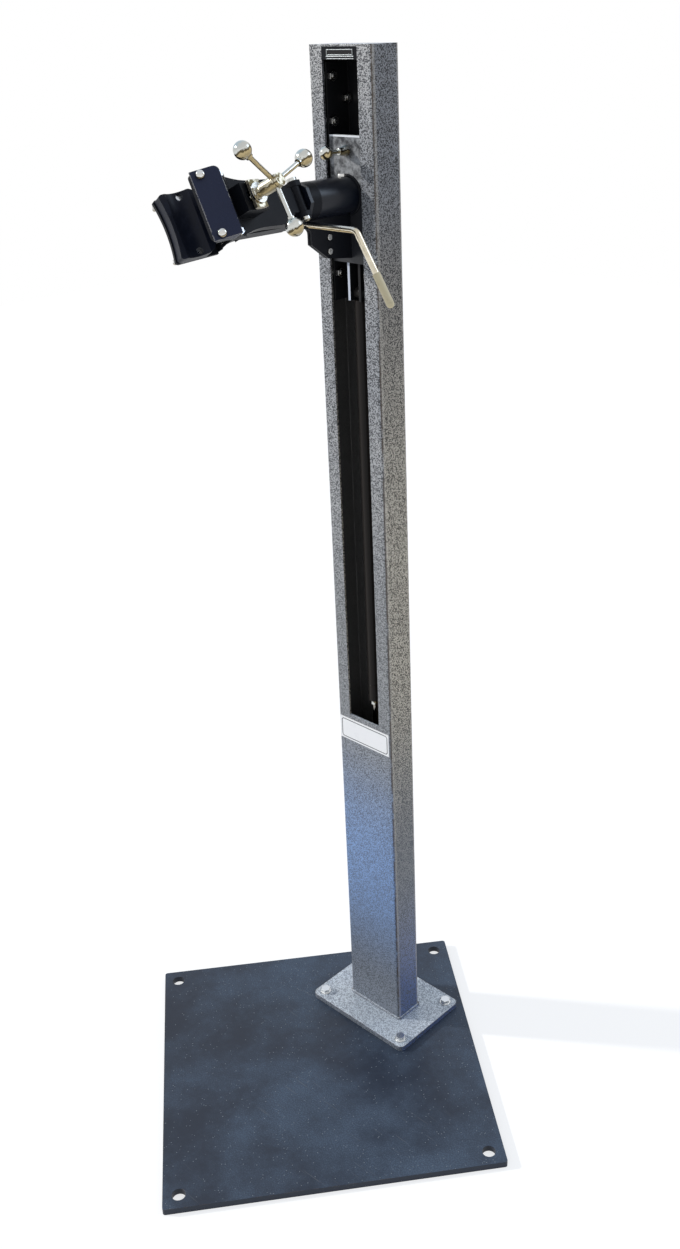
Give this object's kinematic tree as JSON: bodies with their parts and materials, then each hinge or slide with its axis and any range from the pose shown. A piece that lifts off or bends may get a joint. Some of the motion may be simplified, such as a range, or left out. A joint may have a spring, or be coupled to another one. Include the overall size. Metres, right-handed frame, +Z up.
{
  "type": "bicycle repair station",
  "caption": "Floor-bolted bicycle repair station: slotted column with a roller carriage on a gas spring, a rotating arm and a screw clamp with two padded jaws",
  "frame": {"origin": "centre of the floor-bolt pattern on the underside of the base plate", "axes": "+Z up along the column, -Y the way the column's front and the clamp arm face, +X to the right when facing +Y"},
  "size_m": [0.8398, 0.8398, 1.812],
  "materials": {
    "black_plate": "matt black coated steel plate, dusty",
    "column_grey": "silver-grey powder coat with a fine hammered grain",
    "black_coat": "black powder coat, half gloss",
    "cover_black": "blue-black textured coat",
    "zinc": "zinc plated steel, slightly yellow",
    "rod_chrome": "hard chromed rod",
    "cylinder_black": "gloss black lacquer",
    "bearing_steel": "ground bearing steel",
    "spindle_steel": "plain turned steel, greased",
    "spring_steel": "plain spring steel",
    "tag_white": "blank white plate",
    "glide_nylon": "natural nylon",
    "grip_cream": "cream plastic sleeve",
    "pad_rubber": "black rubber, worn"
  },
  "bodies": {
    "column": {"base_plate": "black_plate", "column_flange": "column_grey", "flange_bolts": "zinc", "column_tube": "column_grey", "top_cap": "column_grey", "top_stop": "black_coat", "tag_plate": "tag_white", "anchor_lugs": "column_grey", "anchor_pin": "zinc", "gas_rod": "rod_chrome", "gas_piston": "zinc"},
    "carriage": {"carriage_channel": "black_coat", "front_plate": "black_coat", "eye_lugs": "black_coat", "eye_bolt": "zinc", "gas_cylinder": "cylinder_black", "rod_guide": "zinc", "arm_tube": "black_coat", "split_collar": "black_coat", "gusset_plates": "black_coat", "gusset_screws": "zinc", "lever_boss": "black_coat", "stop_screw": "zinc", "roller_bolts": "zinc", "roller_nuts": "zinc", "roller_spacers": "zinc", "side_glides": "glide_nylon", "plunger_housing": "zinc", "plunger_spring": "spring_steel"},
    "plunger": {"plunger_pin": "zinc", "plunger_knob": "zinc"},
    "front_rollers_1": {"front_rollers_top": "bearing_steel"},
    "front_rollers_2": {"front_rollers_upper": "bearing_steel"},
    "front_rollers_3": {"front_rollers_low": "bearing_steel"},
    "rear_rollers_1": {"rear_rollers_upper": "bearing_steel"},
    "rear_rollers_2": {"rear_rollers_low": "bearing_steel"},
    "lever": {"lock_lever": "zinc", "lever_grip": "grip_cream"},
    "head": {"head_spindle": "spindle_steel", "head_flange": "black_coat", "spindle_ring": "spindle_steel", "jaw_root": "black_coat", "fixed_arm": "black_coat", "cross_nut": "zinc", "fixed_jaw": "black_coat", "fixed_pad": "pad_rubber", "fixed_jaw_bolts": "zinc", "hinge_pin": "zinc"},
    "swing_arm": {"moving_arm": "black_coat", "moving_jaw": "black_coat", "moving_pad": "pad_rubber", "jaw_cover": "cover_black", "moving_jaw_bolts": "zinc"},
    "thrust": {"rocker_block": "zinc", "thrust_washers": "zinc"},
    "handle": {"clamp_screw": "zinc", "handle_hub": "zinc", "handle_spokes": "zinc", "handle_balls": "zinc"}
  },
  "joints": [
    {"name": "carriage_lift", "type": "slide", "parent": "column", "child": "carriage", "axis": [0, 0, 1], "range_m": [-0.66, 0]},
    {"name": "front_rollers_1_roll", "type": "hinge", "parent": "carriage", "child": "front_rollers_1", "pos_m": [-0.015, 0.1863, 1.768], "axis": [1, 0, 0], "range_deg": [-3438, 0]},
    {"name": "front_rollers_2_roll", "type": "hinge", "parent": "carriage", "child": "front_rollers_2", "pos_m": [-0.015, 0.1863, 1.705], "axis": [1, 0, 0], "range_deg": [-3438, 0]},
    {"name": "front_rollers_3_roll", "type": "hinge", "parent": "carriage", "child": "front_rollers_3", "pos_m": [-0.015, 0.1863, 1.479], "axis": [1, 0, 0], "range_deg": [-3438, 0]},
    {"name": "rear_rollers_1_roll", "type": "hinge", "parent": "carriage", "child": "rear_rollers_1", "pos_m": [-0.015, 0.2157, 1.736], "axis": [1, 0, 0], "range_deg": [0, 3438]},
    {"name": "rear_rollers_2_roll", "type": "hinge", "parent": "carriage", "child": "rear_rollers_2", "pos_m": [-0.015, 0.2157, 1.448], "axis": [1, 0, 0], "range_deg": [0, 3438]},
    {"name": "plunger_push", "type": "slide", "parent": "carriage", "child": "plunger", "axis": [0, 1, 0], "range_m": [0, 0.007], "deforming": ["plunger_spring"]},
    {"name": "lever_turn", "type": "hinge", "parent": "carriage", "child": "lever", "pos_m": [-0.015, 0.088, 1.56695], "axis": [1, 0, 0], "range_deg": [0, 60]},
    {"name": "clamp_rotation", "type": "hinge", "parent": "carriage", "child": "head", "pos_m": [-0.015, 0.178, 1.6], "axis": [0, -1, 0], "continuous": true},
    {"name": "handle_spin", "type": "hinge", "parent": "thrust", "child": "handle", "pos_m": [-0.015, -0.07, 1.6], "axis": [-0.8861, -0.1271, -0.4457], "range_deg": [0, 3432]},
    {"name": "thrust_slide", "type": "slide", "parent": "head", "child": "thrust", "axis": [-0.8861, -0.1271, -0.4457], "range_m": [0, 0.0287]},
    {"name": "arm_swing", "type": "hinge", "parent": "head", "child": "swing_arm", "pos_m": [-0.00249, 0.063, 1.60629], "axis": [0.4493, 0, -0.8934], "range_deg": [0, 13]}
  ],
  "couplings": [
    {"joint": "front_rollers_1_roll", "follows": "carriage_lift", "rad_per_m": 90.909},
    {"joint": "front_rollers_2_roll", "follows": "carriage_lift", "rad_per_m": 90.909},
    {"joint": "front_rollers_3_roll", "follows": "carriage_lift", "rad_per_m": 90.909},
    {"joint": "rear_rollers_1_roll", "follows": "carriage_lift", "rad_per_m": -90.909},
    {"joint": "rear_rollers_2_roll", "follows": "carriage_lift", "rad_per_m": -90.909},
    {"joint": "thrust_slide", "follows": "handle_spin", "m_per_rad": 0.00047746},
    {"joint": "arm_swing", "follows": "handle_spin", "ratio": 0.0037834}
  ]
}
